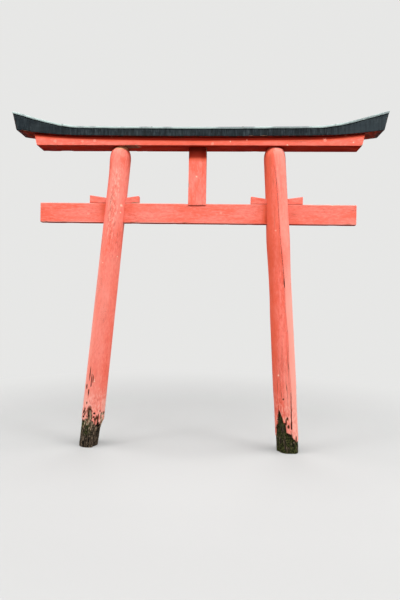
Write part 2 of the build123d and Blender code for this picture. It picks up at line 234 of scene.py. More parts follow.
def smooth_line(places, at):
    """A smooth curve through points given from low to high, read at `at`."""
    places = np.array(places)
    slopes = np.gradient(places[:, 1], places[:, 0])
    at = np.clip(at, places[0, 0], places[-1, 0])
    index = np.clip(np.searchsorted(places[:, 0], at) - 1, 0, len(places) - 2)
    start, end = places[index], places[index + 1]
    span = end[..., 0] - start[..., 0]
    t = (at - start[..., 0]) / span
    rest = 1 - t
    leaving = rest**2 * ((1 + 2 * t) * start[..., 1] + t * span * slopes[index])
    arriving = t**2 * ((1 + 2 * rest) * end[..., 1] - rest * span * slopes[index + 1])
    return leaving + arriving


def bezier(controls, shares):
    """Points at some shares of the way along a curve with four controls."""
    controls = np.array(controls)
    t = shares[:, None]
    return (
        (1 - t) ** 3 * controls[0] + 3 * (1 - t) ** 2 * t * controls[1]
        + 3 * (1 - t) * t**2 * controls[2] + t**3 * controls[3]
    )


# Materials

class Shader:
    """The nodes of a material or a world, built with short calls."""

    def __init__(self, owner):
        owner.use_nodes = True
        self.owner = owner
        self.tree = owner.node_tree
        self.tree.nodes.clear()

    def put(self, value, socket):
        if isinstance(value, bpy.types.NodeSocket):
            self.tree.links.new(value, socket)
        else:
            socket.default_value = value

    def node(self, kind, inputs, **settings):
        made = self.tree.nodes.new("ShaderNode" + kind)
        for key, value in settings.items():
            setattr(made, key, value)
        for key, value in inputs.items():
            self.put(value, made.inputs[key])
        return made

    def mark(self, name, output="Fac"):
        return self.node("Attribute", {}, attribute_name=name).outputs[output]

    def place(self):
        return self.node("TexCoord", {}).outputs["Object"]

    def math(self, operation, first, second=0.0):
        return self.node("Math", {0: first, 1: second}, operation=operation).outputs[0]

    def vector(self, operation, first, second, output="Value"):
        return self.node("VectorMath", {0: first, 1: second}, operation=operation).outputs[output]

    def times(self, first, second):
        return self.math("MULTIPLY", first, second)

    def plus(self, first, second):
        return self.math("ADD", first, second)

    def most(self, first, second):
        return self.math("MAXIMUM", first, second)

    def total(self, *parts):
        """The sum of some values, each times its weight."""
        found = self.times(*parts[0])
        for value, weight in parts[1:]:
            found = self.plus(found, self.times(value, weight))
        return found

    def noise(self, vector, stretch, scale, detail=3.0, distortion=0.0):
        stretched = self.vector("MULTIPLY", vector, stretch, "Vector")
        inputs = {"Vector": stretched, "Scale": scale, "Detail": detail, "Distortion": distortion}
        return self.node("TexNoise", inputs).outputs[0]

    def grained(self, stretch, scale, detail=3.0, distortion=0.0):
        """Noise drawn out along the timber's grain."""
        return self.noise(self.mark("grain", "Vector"), (1, 1, stretch), scale, detail, distortion)

    def fit(self, value, low, high, new_low=0.0, new_high=1.0):
        """Maps low..high to new_low..new_high with a smooth step."""
        inputs = {0: value, 1: low, 2: high, 3: new_low, 4: new_high}
        return self.node("MapRange", inputs, interpolation_type="SMOOTHSTEP").outputs[0]

    def above(self, value, low, high, most=1.0):
        return self.fit(value, low, high, 0.0, most)

    def below(self, value, low, high, most=1.0):
        return self.fit(value, low, high, most, 0.0)

    def mix(self, share, first, second):
        made = self.node("Mix", {0: share}, data_type="RGBA")
        for index, value in ((6, first), (7, second)):
            self.put((*value, 1) if isinstance(value, tuple) else value, made.inputs[index])
        return made.outputs[2]

    def over(self, colour, *layers):
        """Lays colours over a colour in turn, each with its share."""
        for share, layer in layers:
            colour = self.mix(share, colour, layer)
        return colour

    def line(self, value, centre, width):
        """1 where value is at centre, fading to 0 at width from it."""
        off = self.math("ABSOLUTE", self.math("SUBTRACT", value, centre))
        return self.below(off, 0.0, width)

    def facing(self, axis, low, high):
        """1 where the surface faces along the axis more than high, 0 where less than low."""
        normal = self.node("NewGeometry", {}).outputs["Normal"]
        return self.fit(self.vector("DOT_PRODUCT", normal, axis), low, high)

    def spots(self, places):
        """Small ragged spots at given places, each with its own radius."""
        place = self.place()
        ragged = self.fit(self.noise(place, (1, 1, 1), 110.0), 0.2, 0.8, 0.55, 1.6)
        found = 0.0
        for *spot, size in places:
            away = self.times(self.vector("DISTANCE", place, spot), ragged)
            found = self.most(found, self.below(away, size * 0.7, size * 1.15))
        return found

    def finish(self, colour, roughness, height, depth, specular):
        bump = self.node("Bump", {"Height": height, "Distance": depth, "Strength": 1.0})
        inputs = {
            "Base Color": colour, "Roughness": roughness, "Normal": bump.outputs[0],
            "Specular IOR Level": specular,
        }
        surface = self.node("BsdfPrincipled", inputs)
        output = self.node("OutputMaterial", {"Surface": surface.outputs[0]})
        output.is_active_output = True
        return self.owner


def red_paint(s):
    """Weathered vermilion with painted shade: its colour, its height for the bump, where it faces down and
    how dull it is.
    """
    fibres = s.grained(0.02, 480.0, 3.0)
    strands = s.grained(0.05, 85.0, 4.0)
    patches = s.grained(0.3, 10.0, 5.0, 0.6)
    stipple = s.grained(0.4, 150.0, 2.0)
    mottle = s.grained(0.35, 62.0, 2.0, 0.3)
    flaky = s.grained(0.34, 72.0, 3.0)
    cracked = s.line(s.grained(0.022, 120.0, 2.0, 0.4), 0.5, 0.010)
    cracks = s.times(cracked, s.fit(s.grained(0.5, 4.5, 3.0), 0.52, 0.64))
    hairs = s.times(s.line(s.grained(0.010, 70.0, 1.0), 0.5, 0.018), s.mark("lines"))
    bleach = s.mark("bleach")
    flake = s.mark("flake")
    under = s.facing((0, 0, -1), 0.80, 0.97)
    # Downward faces get a deeper, unfaded red that is darkened further as painted shade.
    underside_red_and_shade = s.mix(s.fit(patches, 0.3, 0.7), (0.33, 0.011, 0.002), (0.47, 0.027, 0.007))
    specks = s.spots(PALE_SPECKS)
    colour = s.over(
        s.mix(s.fit(patches, 0.36, 0.66), (0.90, 0.140, 0.086), (0.95, 0.210, 0.156)),
        (s.above(strands, 0.48, 0.74, 0.45), (0.97, 0.26, 0.20)),
        (s.below(strands, 0.26, 0.42, 0.35), (0.76, 0.10, 0.058)),
        (s.below(fibres, 0.30, 0.48, 0.25), (0.66, 0.08, 0.045)),
        (s.above(stipple, 0.60, 0.72, 0.45), (0.62, 0.07, 0.038)),
        (s.above(mottle, 0.54, 0.62, 0.30), (0.96, 0.32, 0.25)),
        (s.below(mottle, 0.36, 0.45, 0.30), (0.68, 0.085, 0.045)),
        # From here the bleach mark pales the paint above 0 and deepens it below, real fading together with
        # painted light and shade; below -1 it paints shadow in near-black red.
        (s.above(bleach, 0.0, 1.0, 0.85), (0.96, 0.385, 0.315)),
        (s.below(bleach, -1.0, 0.0, 0.75), (0.74, 0.095, 0.040)),
        (s.below(bleach, -2.0, -1.0, 0.95), (0.18, 0.006, 0.001)),
        # Painted shade on downward faces, over their deeper red.
        (under, underside_red_and_shade),
        (s.times(cracks, 0.7), (0.24, 0.032, 0.018)),
        (s.times(hairs, 0.9), (0.17, 0.050, 0.014)),
        (s.times(s.above(flaky, 0.52, 0.60, 0.75), flake), (0.97, 0.50, 0.40)),
        (s.times(s.below(flaky, 0.36, 0.44, 0.55), flake), (0.62, 0.09, 0.05)),
        (s.times(s.spots(PALE_PATCHES), 0.45), (0.97, 0.42, 0.33)),
        (s.times(specks, 0.85), (0.95, 0.60, 0.46)),
    )
    height = s.total((fibres, 0.35), (strands, 0.6), (cracks, -1.2), (hairs, -0.8), (specks, -0.5))
    dull = s.most(under, s.below(bleach, -1.6, -0.5))
    return colour, height, under, dull


def black_paint(s):
    """Weathered black paint with upright runs: its colour, and its height for the bump."""
    place = s.place()
    runs = s.noise(place, (1, 0.3, 0.12), 66.0, 2.0, 0.2)
    fine = s.noise(place, (1, 0.4, 0.14), 120.0, 3.0)
    cloud = s.noise(place, (1, 1, 1.6), 6.0, 4.0)
    streaked = s.mark("lines")
    colour = s.over(
        s.mix(s.fit(cloud, 0.35, 0.65), (0.006, 0.012, 0.016), (0.012, 0.019, 0.022)),
        # Paler black at the right end, and painted light just under the capping, in its drip edge's
        # shadow.
        (s.mark("flake"), (0.040, 0.056, 0.064)),
        (s.times(s.above(runs, 0.54, 0.63, 0.8), streaked), (0.032, 0.044, 0.050)),
        (s.times(s.above(fine, 0.58, 0.67, 0.7), streaked), (0.062, 0.078, 0.084)),
        (s.times(s.below(runs, 0.38, 0.48, 0.85), streaked), (0.002, 0.003, 0.004)),
    )
    return colour, s.total((fine, 0.5), (runs, 0.4))


def red_underneath(s, red, black, under):
    """The black beam's underside is red, up to a ragged line inside its ends."""
    place = s.place()
    ragged = s.plus(s.mark("margin"), s.times(s.noise(place, (1, 1, 1), 90.0), 0.2))
    stained = s.fit(s.noise(place, (1, 1, 1), 34.0, 3.0), 0.40, 0.62, 0.15, 0.85)
    red = s.mix(stained, red, (0.075, 0.018, 0.005))
    return s.mix(s.times(under, s.fit(ragged, 0.09, 0.18)), black, red)


def bare_wood(s, rot):
    """Grey-brown timber that has lost its paint, black-green where it rots and tan where fresh."""
    fibres = s.grained(0.03, 260.0, 4.0)
    strands = s.grained(0.07, 60.0, 5.0, 0.5)
    blotch = s.grained(0.6, 22.0, 4.0)
    crumbs = s.grained(0.8, 75.0, 3.0)
    flecks = s.grained(0.3, 105.0, 2.0)
    moss = s.mark("moss")
    grown = s.above(s.plus(blotch, s.times(moss, 0.12)), 0.46, 0.64, 0.95)
    green = s.mix(s.fit(crumbs, 0.42, 0.62), (0.010, 0.013, 0.005), (0.070, 0.078, 0.026))
    rotten = s.over(
        s.mix(s.fit(strands, 0.40, 0.60), (0.006, 0.006, 0.005), (0.078, 0.057, 0.040)),
        (s.above(flecks, 0.55, 0.62, 0.6), (0.34, 0.26, 0.18)),
        (s.below(fibres, 0.36, 0.50, 0.8), (0.005, 0.004, 0.003)),
        (s.times(grown, moss), green),
    )
    fresh = s.times(s.mark("fresh"), s.fit(strands, 0.30, 0.50, 0.6, 0.95))
    scar = s.mix(s.fit(strands, 0.40, 0.60), (0.016, 0.004, 0.002), (0.125, 0.040, 0.020))
    colour = s.over(
        s.mix(s.fit(strands, 0.34, 0.64), (0.20, 0.12, 0.07), (0.60, 0.43, 0.29)),
        (s.below(fibres, 0.36, 0.56, 0.6), (0.10, 0.055, 0.03)),
        (s.above(flecks, 0.54, 0.62, 0.8), (0.80, 0.62, 0.46)),
        (fresh, (0.90, 0.42, 0.23)),
        (rot, rotten),
        (s.mark("scar"), scar),
    )
    return colour, s.total((fibres, 0.9), (strands, 1.4))


def timber_material(name, black):
    """Painted timber with dirt and painted shade, and with bare wood where its marks say so."""
    s = Shader(bpy.data.materials.new(name))
    colour, height, under, dull = red_paint(s)
    if black:
        dark, dark_height = black_paint(s)
        colour = red_underneath(s, colour, dark, under)
        height = s.plus(s.times(height, 0.5), dark_height)
    smudge = s.grained(0.25, 30.0, 5.0)
    dirt_and_shade = s.fit(s.plus(s.mark("grime"), s.times(smudge, 0.9)), 0.62, 1.25)
    settled = s.times(s.facing((0, 0, 1), 0.45, 0.8), s.fit(smudge, 0.30, 0.62, 0.25, 0.85))
    edge_noise = s.math("SUBTRACT", s.grained(0.18, 130.0, 5.0), 0.5)
    laid_bare = s.plus(s.mark("bare"), s.times(edge_noise, 1.1))
    bare = s.fit(laid_bare, -0.04, 0.05)
    rot = s.fit(s.plus(s.mark("rot"), s.times(smudge, 0.5)), 0.35, 0.75)
    wood, wood_height = bare_wood(s, rot)
    colour = s.over(
        colour,
        # Dirt colour, also used as painted shadow on the rim of the left foot's slot.
        (s.most(dirt_and_shade, settled), (0.16, 0.055, 0.032)),
        (s.times(s.fit(laid_bare, -0.22, -0.02), 0.5), (0.55, 0.12, 0.06)),
        (bare, wood),
    )
    painted = s.math("SUBTRACT", 1.0, bare)
    height = s.total((height, painted), (s.math("SUBTRACT", wood_height, 0.8), bare))
    sheen = s.fit(s.grained(0.2, 40.0), 0.3, 0.7, 0.55, 0.72)
    roughness = s.most(sheen, s.times(bare, 0.92))
    specular = s.fit(s.most(dull, bare), 0.0, 1.0, 0.12 if black else 0.3, 0.03)
    return s.finish(colour, roughness, height, 0.0009, specular)


def sheet_material():
    """Dull grey-green sheet metal with runs down its slopes, leaf stains on top and a paler fold that is
    partly a painted highlight.
    """
    s = Shader(bpy.data.materials.new("cap_sheet_weathered"))
    place = s.place()
    cloud = s.noise(place, (1, 1, 1), 5.0, 5.0, 0.8)
    runs = s.noise(place, (1, 0.08, 0.08), 55.0, 4.0)
    fine = s.noise(place, (1, 1, 1), 240.0, 3.0)
    top = s.facing((0, 0, 1), 0.55, 0.9)
    stains = s.times(top, s.fit(s.noise(place, (1, 1, 1), 13.0, 6.0, 1.2), 0.48, 0.66))
    fold = s.mix(s.fit(cloud, 0.40, 0.60), (0.19, 0.23, 0.23), (0.40, 0.49, 0.47))
    dulled = s.mix(s.fit(cloud, 0.35, 0.65), (0.10, 0.13, 0.12), (0.22, 0.27, 0.25))
    colour = s.over(
        s.mix(s.fit(cloud, 0.38, 0.62), (0.10, 0.13, 0.13), (0.17, 0.22, 0.21)),
        (s.above(runs, 0.50, 0.74, 0.6), (0.24, 0.30, 0.28)),
        (s.below(runs, 0.28, 0.44, 0.55), (0.06, 0.08, 0.075)),
        # Paler sheet along the fold at the drip edges, partly a painted highlight where the bend catches
        # the light.
        (s.mark("fold"), fold),
        (s.times(top, 0.8), dulled),
        (s.times(stains, 0.8), (0.13, 0.125, 0.085)),
        (s.above(fine, 0.58, 0.70, 0.35), (0.10, 0.11, 0.10)),
        (s.times(s.mark("seam"), 0.55), (0.15, 0.17, 0.16)),
    )
    roughness = s.fit(cloud, 0.3, 0.7, 0.42, 0.66)
    return s.finish(colour, roughness, s.total((fine, 0.4), (cloud, 1.5)), 0.0006, 0.25)


# Meshes

def ring_faces(rows, columns):
    """Quads between closed rings, facing out when the rings turn left about the way they advance."""
    row = np.arange(rows - 1)[:, None] * columns
    column = np.arange(columns)[None, :]
    following = (column + 1) % columns
    quads = np.stack(
        [row + column, row + following, row + columns + following, row + columns + column], axis=-1
    )
    return quads.reshape(-1, 4).tolist()


def closed_by_points(points, marks, rows, columns):
    """Adds a middle point at both ends of a tube of rings, and returns it all."""
    def with_middles(values):
        return np.vstack([values, values[:columns].mean(axis=0), values[-columns:].mean(axis=0)])

    faces = ring_faces(rows, columns)
    count = rows * columns
    full = {}
    for name, values in marks.items():
        values = with_middles(values.reshape(count, -1))
        full[name] = values if values.shape[1] == 3 else values[:, 0]
    for column in range(columns):
        following = (column + 1) % columns
        faces.append((following, column, count))
        faces.append((count - columns + column, count - columns + following, count + 1))
    return with_middles(points.reshape(-1, 3)), faces, full


def new_object(name, data):
    made = bpy.data.objects.new(name, data)
    bpy.context.scene.collection.objects.link(made)
    return made


def new_piece(name, points, faces, marks, material):
    mesh = bpy.data.meshes.new(name)
    mesh.from_pydata(points.tolist(), [], faces)
    for mark, values in marks.items():
        vector = values.ndim == 2
        made = mesh.attributes.new(mark, "FLOAT_VECTOR" if vector else "FLOAT", "POINT")
        made.data.foreach_set("vector" if vector else "value", values.astype(np.float32).ravel())
    mesh.materials.append(material)
    return new_object(name, mesh)


def prism(outline, half_depth):
    """A front view outline, given from left to right underneath, as a closed solid along Y."""
    count = len(outline)
    points = [(x, -half_depth, z) for x, z in outline] + [(x, half_depth, z) for x, z in outline]
    faces = [tuple(range(count)), tuple(range(2 * count - 1, count - 1, -1))]
    for index in range(count):
        following = (index + 1) % count
        faces.append((following, index, index + count, following + count))
    return np.array(points), faces


def cut_away(piece, outline, half_depth):
    """Cuts a front view outline out of a piece, `half_depth` to each side of Y = 0."""
    points, faces = prism(outline, half_depth)
    cutter = new_piece("cutter", points, faces, {}, piece.data.materials[0])
    modifier = piece.modifiers.new("cut", "BOOLEAN")
    modifier.operation = "DIFFERENCE"
    modifier.solver = "EXACT"
    modifier.object = cutter
    evaluated = piece.evaluated_get(bpy.context.evaluated_depsgraph_get())
    mesh = bpy.data.meshes.new_from_object(evaluated)
    piece.modifiers.clear()
    spare = piece.data
    piece.data = mesh
    bpy.data.meshes.remove(spare)
    bpy.data.objects.remove(cutter)


def settle(piece, node, sharp_angle=38):
    """Shades a finished piece and puts it in its node's place."""
    piece.data.shade_smooth()
    piece.data.set_sharp_from_angle(angle=math.radians(sharp_angle))
    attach(piece, "root")
    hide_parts(node)


# Pillars

def pillar_radius(height):
    return FOOT_RADIUS - (FOOT_RADIUS - HEAD_RADIUS) * height / LOWER_UNDERSIDE


def log_profile():
    """Radius and height up a log and over its crown to the stub under the lintel, as columns."""
    shoulder = LOWER_UNDERSIDE - CROWN_HEIGHT
    bend = shoulder + CROWN_BEND
    heights = np.concatenate([
        [0.0], np.arange(0.014, 0.56, FOOT_RING_STEP),
        np.arange(0.564, shoulder - 0.004, LOG_RING_STEP),
    ])
    crown = bezier([
        (pillar_radius(shoulder), shoulder), (pillar_radius(bend), bend),
        (CROWN_RADIUS + CROWN_BEND / 4, LOWER_UNDERSIDE), (CROWN_RADIUS, LOWER_UNDERSIDE),
    ], np.linspace(0, 1, 26))
    log = np.column_stack([pillar_radius(heights), heights])
    profile = np.vstack([log, crown, [(CROWN_RADIUS, LOWER_UNDERSIDE + 0.01)]])
    return profile[:, 0:1], profile[:, 1:2]


def around(radius, angle, height):
    """Points round an upright log, where angle 0 is its front."""
    return np.stack([radius * np.sin(angle), -radius * np.cos(angle), height + 0 * angle], axis=-1)


def log_surface(lean, seed, focus_line, focus, wear):
    """A leaning log's surface as rings of points, with its marks.

    The rings' points crowd round `focus_line`, which gives an angle for each height."""
    radius, height = log_profile()
    turn = np.linspace(-math.pi, math.pi, LOG_COLUMNS, endpoint=False)[None, :]
    angle = focus_line(height) + turn - focus * np.sin(turn)
    points = around(radius, angle, height)
    loss, marks = wear(points, angle)
    loss[-1] = 0
    rings = around(radius - loss, angle, height)
    rings[0, :, 2] = rings[0, :, 0] * math.tan(lean)
    rings[-1, :, 2] = (LOWER_UNDERSIDE + rings[-1, :, 0] * math.sin(lean)) / math.cos(lean)
    marks["grain"] = points + seed * 3.7
    return rings, marks


def outline_at(outline, across, height):
    return np.interp(across / FOOT_RADIUS, *np.transpose(outline)) * height


def log_roughness(points, seed):
    """The loss that every old log has: out of round, with shallow furrows along the grain."""
    sway = 0.0011 * (1 + fractal(points, (7, 7, 1.4), 2, seed))
    furrows = 0.0005 * (1 + fractal(points, (55, 55, 2.6), 2, seed + 9))
    return sway + furrows


def decay(points, depth, seed):
    """Extra loss inside decayed wood: deep furrows and short cross checks."""
    furrows = np.abs(fractal(points, (48, 48, 5), 3, seed))
    crumbs = np.abs(fractal(points, (70, 70, 40), 2, seed + 5))
    return depth * (0.9 * furrows + 0.5 * crumbs)


def wasting(points, seed):
    """How deep the left foot's right side has wasted away."""
    x, z = points[..., 0], points[..., 2]
    edges, edge_heights = np.transpose(WASTED_OUTLINE)
    depths, depth_heights = np.transpose(WASTED_PROFILE)
    share = z / WASTED_HEIGHT
    edge = np.interp(share, edge_heights, edges) * FOOT_RADIUS
    depth = np.interp(share, depth_heights, depths) * FOOT_RADIUS
    ragged = 0.010 * fractal(points, (50, 50, 9), 3, seed)
    return depth * ramp(x - edge + ragged, -0.008, 0.014)


def lost_spots(points, places, marks, loss):
    """Takes the small lost places out of a log, and marks them."""
    ragged = 0.35 * fractal(points, (70, 70, 22), 3, 7)
    for *place, half_width, half_height, rotten in places:
        spot = near(points, place, (half_width, LOSS_HALF_DEPTH, half_height))
        spot = spot + ragged * (spot > -1.5)
        marks["rot"] = np.where(spot > np.maximum(marks["bare"], 0), rotten, marks["rot"])
        marks["scar"] = np.where(spot > np.maximum(marks["bare"], -0.4), 0.9, marks["scar"])
        marks["bare"] = np.maximum(marks["bare"], spot - 0.15)
        marks["grime"] += 0.9 * ramp(spot, -0.5, 0.1)
        loss += 0.005 * ramp(spot, -0.1, 0.5)
    marks["bare"] = np.clip(marks["bare"], -2, 2)
    return loss, marks


def only_where(inside, value):
    """A mark for bare wood that counts only inside a place."""
    return np.where(inside, value, -9)


def left_tone_and_painted_light(points, side, tan, seed):
    """How bleached or deep the left log's paint is, from -1 to 1, with painted light and shade by side."""
    x, z = points[..., 0], points[..., 2]
    high = ramp(z, 2.20, 2.50)
    bleach = (
        0.40 + 0.25 * fractal(points, (9, 9, 1.3), 3, seed)
        # Painted light and shade by side: low down the left side is lighter and the right darker, higher
        # up both sides are darker.
        + (1 - high) * (0.15 * ramp(-side, 0.3, 1.0) - 0.12 * ramp(side, 0.3, 0.9))
        - high * (0.55 * ramp(-side, 0.5, 0.95) + 0.20 * ramp(side, 0.45, 0.95))
        - 0.20 * ramp(z, 2.95, 3.10) - 0.25 * band(z, 2.0, 2.15, 2.25, 2.45)
        + 0.20 * ramp(z, 1.0, 0.4) + 0.40 * ramp(x, 0.02, -0.04) * ramp(z, 0.60, 0.48)
        + 0.8 * ramp(x, 0.096, 0.108) * ramp(z, 0.56, 0.46) + 1.2 * tan
    )
    return np.clip(bleach, -1, 1)


def left_wear_and_painted_light(points, angle):
    """The left log: a rotten foot with a slot in it, painted shadow on the slot's upper rim, painted light
    and shade by side, and a bare ring under the lintel.
    """
    x, z = points[..., 0], points[..., 2]
    front = ramp(-points[..., 1], -0.01, 0.03)
    side = np.sin(angle)
    seed = 11
    ragged = 0.026 * fractal(points, (40, 40, 5), 2, seed) + 0.016 * fractal(points, (95, 95, 22), 2, seed)
    below = outline_at(WORN_OUTLINE, x, LEFT_WORN_HEIGHT) + ragged - 0.006 - z
    worn = ramp(below, -0.003, 0.006)
    slot = 1 - np.hypot((x + 0.018 - 0.008 * ramp(z, 0.39, 0.34)) / 0.027, (z - 0.352) / 0.078)
    slot = slot + 0.4 * fractal(points, (55, 55, 24), 3, seed + 6)
    cut = ramp(slot, -0.05, 0.35) * front
    loss = (
        log_roughness(points, seed) + worn * (0.004 + decay(points, 0.007, seed))
        + wasting(points, seed + 3) + 0.021 * cut * (1 - worn * 0.3)
        - 0.008 * ramp(z, 2.93, 3.13) * ramp(-side, -0.1, 0.8)
    )
    broken = fractal(points, (75, 75, 38), 2, seed + 20)
    breaking = ramp(z, 0.450, 0.400) * ramp(x, 0.0, -0.030) + ramp(z, 0.375, 0.330)
    chips = 3.0 * (broken - 0.62 + 0.42 * np.minimum(breaking, 1)) * front
    ring = (z - 3.212) / 0.010 + 0.6 * fractal(points, (40, 40, 30), 3, seed + 7)
    tan = ramp(x, 0.082, 0.104) * band(z, 0.245, 0.275, 0.36, 0.41)
    bare = np.maximum.reduce([
        below / 0.035,
        only_where(front > 0.5, slot * 0.9),
        only_where(breaking > 0, chips),
        ring - 0.15,
        only_where(tan > 0, 0.5 * tan - 0.45 + broken),
    ])
    rot = (
        0.30 - 0.60 * ramp(z, 2.9, 3.1) + 0.35 * ramp(z, 0.270, 0.170) + 0.35 * ramp(z, 0.200, 0.140)
        - 0.35 * tan + 0.95 * fractal(points, (58, 58, 24), 3, seed + 22) * ramp(z, 0.12, 0.20)
        - 0.9 * ramp(slot, 0.30, 0.60) * ramp(z, 0.30, 0.34)
    )
    slot_rim = band(slot, -0.5, -0.1, 0.20, 0.50) * ramp(z, 0.31, 0.34)
    worn_rim = (1 - tan) * ramp(below, 0.004, -0.008) * ramp(slot, 0.0, -0.2)
    streaked = band(z, 2.10, 2.35, 2.95, 3.05) * ramp(np.abs(x), 0.07, 0.03)
    marks = {
        "bare": bare,
        "rot": rot,
        "moss": band(z, 0.10, 0.17, 0.26, 0.33) * ramp(x, 0.05, -0.03) + 0.25 * cut,
        "scar": 0.85 * np.clip(slot_rim + worn_rim, 0, 1) * ramp(z, 2.0, 1.5),
        "bleach": left_tone_and_painted_light(points, side, tan, seed + 8),
        "grime": 0.30 * ramp(below, -0.04, 0.0) + 0.25 * ramp(z, 3.17, 3.22)
        # Painted shadow in the dirt colour on the slot's upper rim.
        + 0.75 * ramp(slot, -0.55, -0.1) * front * ramp(z, 0.36, 0.39),
        "fresh": ramp(z, 3.190, 3.205),
        "lines": 0.6 * streaked + 0.8 * ramp(z, 0.42, 0.33),
        "flake": 0.9 * ramp(z, 0.80, 0.38) + 0.6 * streaked + 0.8 * tan,
    }
    return lost_spots(points, LEFT_LOSSES, marks, loss)


def check_angle(height):
    """Where the right pillar's long check is, as an angle round the log."""
    places = [(up * LOWER_UNDERSIDE, across * FOOT_RADIUS) for across, up in CHECK_LINE][::-1]
    across = smooth_line(places, height)
    return np.arcsin(across / pillar_radius(np.minimum(height, LOWER_UNDERSIDE)))


def check_opening(z):
    """The check's half width at each height, its share of the full depth and how much it gapes."""
    gape = (
        0.9 * band(z, 1.730, 1.765, 1.79, 1.85) + 0.25 * band(z, 1.75, 1.80, 2.0, 2.3)
        + 0.8 * ramp(z, 0.72, 0.58) + 0.4 * ramp(z, 0.52, 0.44) + 0.5 * ramp(z, 0.36, 0.32)
        + 0.10 * ramp(z, 2.2, 2.4)
    )
    depth = band(z, 0.248, 0.262, 2.80, 3.12)
    half_width = (0.0014 + 0.0048 * gape) * (0.4 + 0.6 * depth)
    return half_width, depth, np.minimum(gape, 1)


def right_swell(z, side):
    """How much fuller than its taper the right log is."""
    return (
        0.009 * np.exp(-((z - 2.24) / 0.24) ** 2)
        + (0.006 * ramp(z, 0.45, 0.75) + 0.0075 * ramp(z, 2.1, 2.7)) * ramp(side, -0.1, 0.8)
        + 0.005 * band(z, 0.45, 0.70, 1.4, 1.7) * ramp(-side, -0.1, 0.8)
    )


def right_tone_and_painted_light(points, side, across, seed):
    z = points[..., 2]
    right_of_check = band(across, -0.012, 0.012, 0.20, 0.34)
    bleach = (
        -0.28 + 0.62 * right_of_check + 0.25 * fractal(points, (9, 9, 1.3), 3, seed)
        # Painted light and shade by side: the right side lighter, the left darker.
        + 0.25 * ramp(side, 0.45, 0.95) - 0.45 * ramp(-side, 0.3, 0.9) + 0.40 * ramp(z, 1.2, 0.5)
        - 0.35 * ramp(z, 1.85, 2.05) * (1 - right_of_check)
        + 0.35 * ramp(z, 2.1, 1.8) * ramp(side, -0.35, -0.05)
    )
    return np.clip(bleach, -1, 1)


def right_wear_and_painted_light(points, angle):
    """The right log: a mossy notch in its foot, a long check, an uneven girth, and painted light and shade
    by side.
    """
    x, z = points[..., 0], points[..., 2]
    front = ramp(-points[..., 1], -0.01, 0.02)
    side = np.sin(angle)
    seed = 31
    ragged = 0.010 * fractal(points, (38, 38, 14), 4, seed)
    below = outline_at(WORN_OUTLINE, x, RIGHT_WORN_HEIGHT) + ragged - z
    below = below - 0.05 * ramp(x, 0.06, 0.09) * front
    in_notch = outline_at(NOTCH_OUTLINE, x, NOTCH_HEIGHT) + ragged * 0.8 - z
    worn = ramp(below, -0.003, 0.006)
    notch = ramp(in_notch, -0.003, 0.010) * front
    hollow = notch * (0.006 + 0.016 * ramp(side, 0.62, 0.30))
    half_width, depth, gape = check_opening(z)
    across = (angle - check_angle(z)) * pillar_radius(z)
    wander = 0.0010 * noise(points * (0, 0, 1), (1, 1, 60), seed + 4)
    cleft = np.clip(1.3 * (1 - np.abs(across + wander) / half_width), 0, 1) * depth
    opened = ramp(cleft, 0.0, 0.3)
    loss = (
        log_roughness(points, seed) + np.maximum(hollow, 0.005 * worn)
        + np.maximum(worn, notch) * decay(points, 0.007, seed) + 0.020 * cleft * (1 - notch)
        - right_swell(z, side)
    )
    bare = np.maximum.reduce([
        below / 0.03, only_where(front > 0.5, in_notch / 0.03), only_where(cleft > 0.2, 0.5)
    ])
    streak = ramp(fractal(points, (60, 60, 1.2), 3, seed + 12), 0.1, 0.6)
    marks = {
        "bare": bare,
        "rot": 0.6 * ramp(z, 0.50, 0.22) + 0.8 * notch + 1.2 * opened,
        "moss": notch,
        "scar": 0.8 * opened * (1 - notch),
        "bleach": right_tone_and_painted_light(points, side, across, seed + 8),
        "grime": 0.35 * np.maximum(ramp(below, -0.03, 0.0), ramp(in_notch, -0.03, 0.0) * front)
        + 0.35 * streak * ramp(-side, 0.0, 0.6) * ramp(z, 2.2, 2.6)
        + 0.50 * ramp(np.abs(across), 0.009, 0.003) * gape,
        "lines": ramp(z, 1.30, 0.85) * ramp(x, 0.06, 0.03)
        + 0.5 * ramp(z, 2.1, 2.4) * ramp(np.abs(x + 0.045), 0.03, 0.01),
        "flake": 0.8 * ramp(z, 0.75, 0.35),
    }
    return lost_spots(points, RIGHT_LOSSES, marks, loss)


def mortise(axis_x):
    """The pillar's through mortise in the front view: its roof falls to the axis."""
    reach = pillar_radius(TIE_TOP)
    overrun = 0.06
    outer = reach + overrun
    floor = TIE_UNDERSIDE - 0.0001
    outer_top = TIE_TOP + WEDGE_HEIGHT + overrun * WEDGE_SLOPE
    return [
        (axis_x - outer, floor),
        (axis_x + outer, floor),
        (axis_x + outer, outer_top),
        (axis_x, TIE_TOP + WEDGE_HEIGHT - reach * WEDGE_SLOPE),
        (axis_x - outer, outer_top),
    ]


def make_pillar(node, foot_x, lean, seed, focus_line, focus, wear):
    rings, marks = log_surface(lean, seed, focus_line, focus, wear)
    x, y, z = rings[..., 0], rings[..., 1], rings[..., 2]
    turned = np.stack([
        foot_x + x * math.cos(lean) + z * math.sin(lean), y,
        np.clip(z * math.cos(lean) - x * math.sin(lean), 0, LOWER_UNDERSIDE)
    ], axis=-1)
    points, faces, marks = closed_by_points(turned, marks, *rings.shape[:2])
    piece = new_piece(node + "_log", points, faces, marks, vermilion)
    cut_away(piece, mortise(foot_x + TIE_TOP * math.tan(lean)), TIE_THICKNESS / 2 + SIDE_FIT)
    settle(piece, node)


# Sawn timbers

